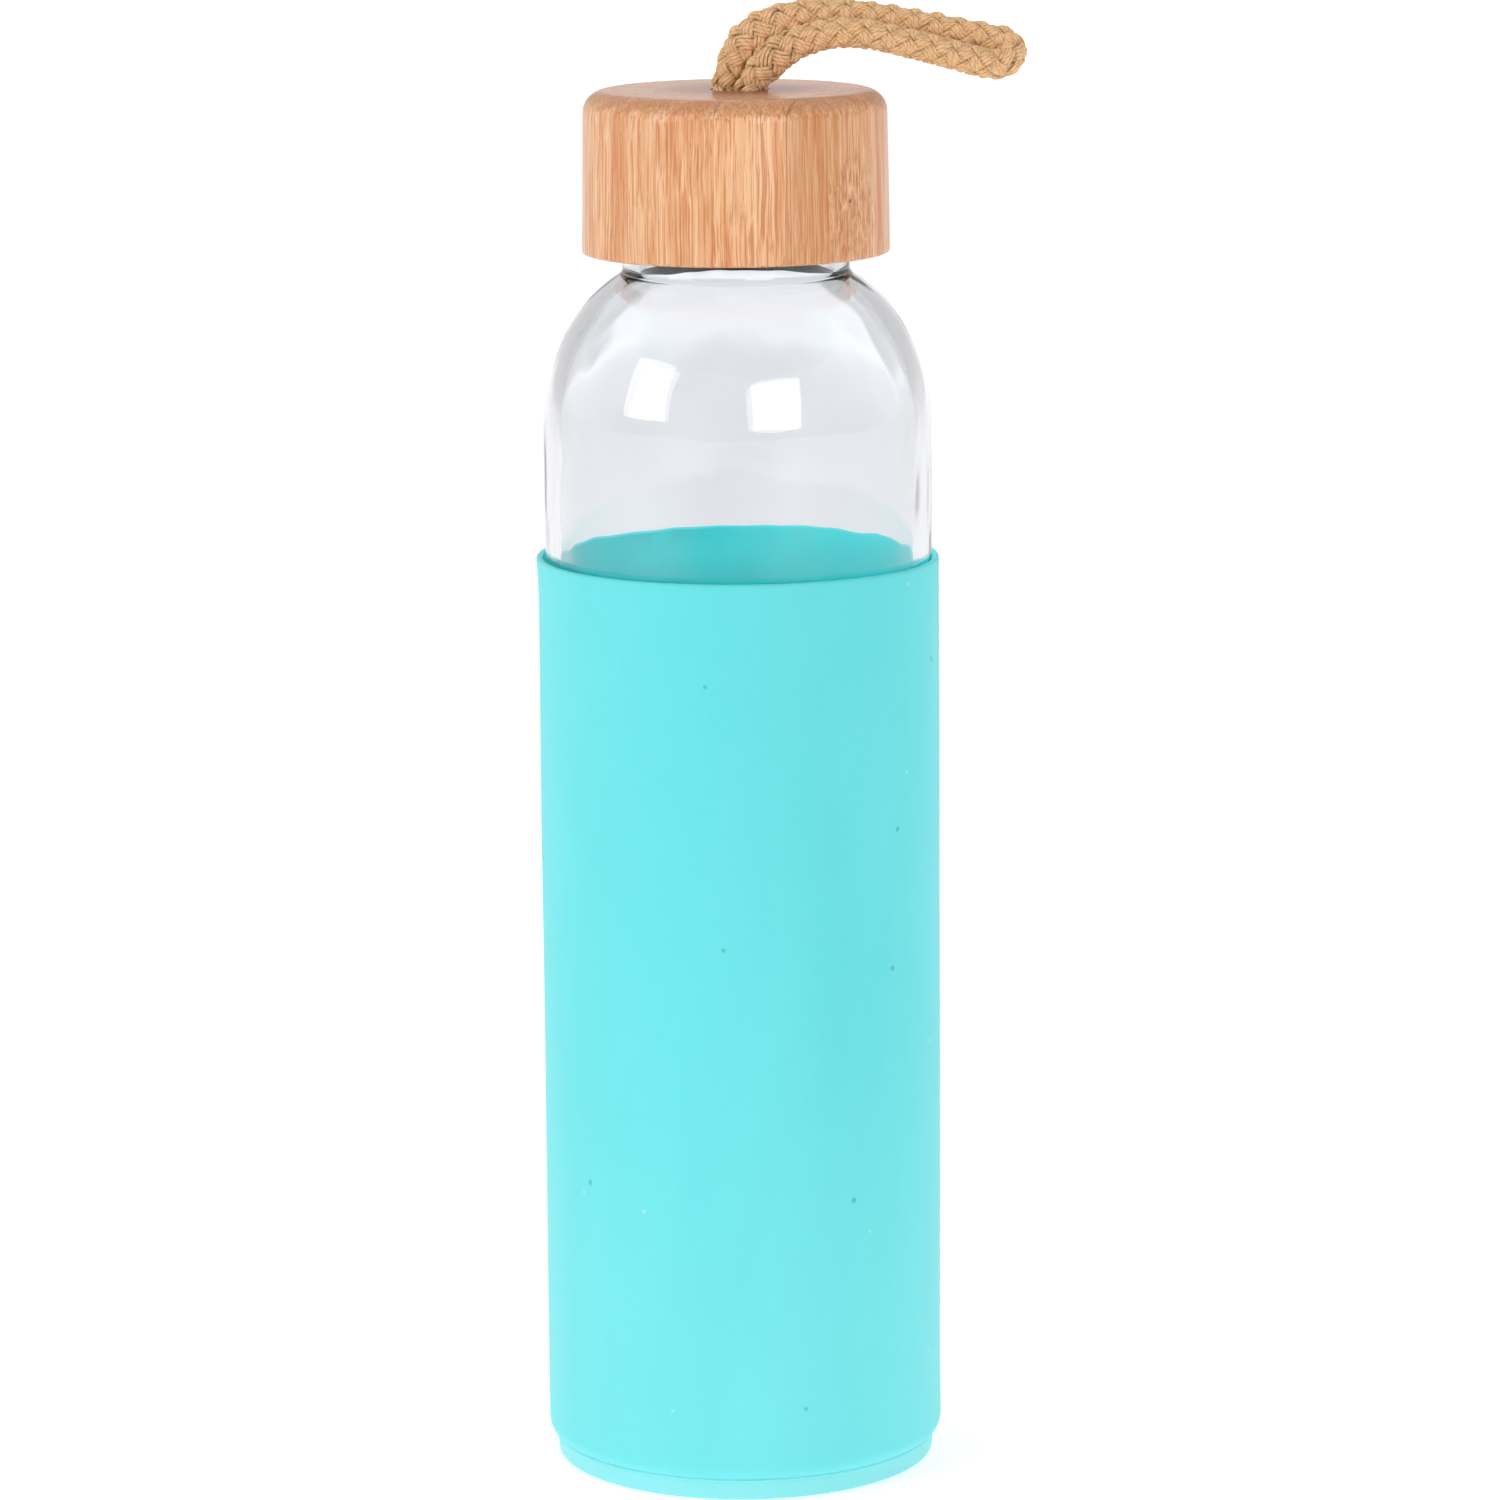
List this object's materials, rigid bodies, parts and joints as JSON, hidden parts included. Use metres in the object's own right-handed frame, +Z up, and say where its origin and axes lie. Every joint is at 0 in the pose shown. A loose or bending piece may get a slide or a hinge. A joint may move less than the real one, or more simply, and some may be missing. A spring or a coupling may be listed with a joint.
{
  "type": "glass water bottle",
  "caption": "Clear glass water bottle with a domed shoulder in a soft silicone sleeve, closed by a screw cap of laminated bamboo with a braided rope carrying loop.",
  "frame": {"origin": "centre of the sleeve's flat underside, where the bottle stands", "axes": "+Z up along the bottle's axis, +X to the right in the front view, towards which the rope loop leans, +Y away from the viewer"},
  "size_m": [0.0793, 0.065, 0.2393],
  "materials": {
    "clear_glass": "polished",
    "turquoise_silicone": "matte",
    "bamboo": "satin",
    "white_plastic": "satin",
    "white_silicone": "matte",
    "jute_rope": "matte"
  },
  "bodies": {
    "sleeve": {"silicone_sleeve": "turquoise_silicone"},
    "bottle": {"glass_bottle": "clear_glass"},
    "seal": {"seal_ring": "white_silicone"},
    "cap": {"bamboo_slat_1": "bamboo", "bamboo_slat_2": "bamboo", "bamboo_slat_3": "bamboo", "bamboo_slat_4": "bamboo", "bamboo_slat_5": "bamboo", "bamboo_slat_6": "bamboo", "cap_liner": "white_plastic"},
    "knot": {"rope_knot": "jute_rope", "rope_tails": "jute_rope"},
    "loop": {"rope_loop": "jute_rope", "rope_bend": "jute_rope"}
  },
  "joints": [
    {"name": "sleeve_pull", "type": "slide", "parent": "sleeve", "child": "bottle", "axis": [0, 0, 1], "range_m": [0, 0.15]},
    {"name": "cap_rise", "type": "slide", "parent": "bottle", "child": "seal", "axis": [0, 0, 1], "range_m": [0, 0.0121]},
    {"name": "cap_turn", "type": "hinge", "parent": "seal", "child": "cap", "pos_m": [0, 0, 0.2], "axis": [0, 0, 1], "range_deg": [0, 1080]},
    {"name": "rope_swivel", "type": "hinge", "parent": "cap", "child": "knot", "pos_m": [0.0008, 0, 0.2225], "axis": [0, 0, 1], "range_deg": [-180, 180]},
    {"name": "loop_tip", "type": "hinge", "parent": "knot", "child": "loop", "pos_m": [0.0008, 0, 0.2288], "axis": [0, -1, 0], "range_deg": [-12, 80], "deforming": ["rope_bend"]}
  ],
  "couplings": [
    {"joint": "cap_rise", "follows": "cap_turn", "m_per_rad": 0.00063662}
  ]
}
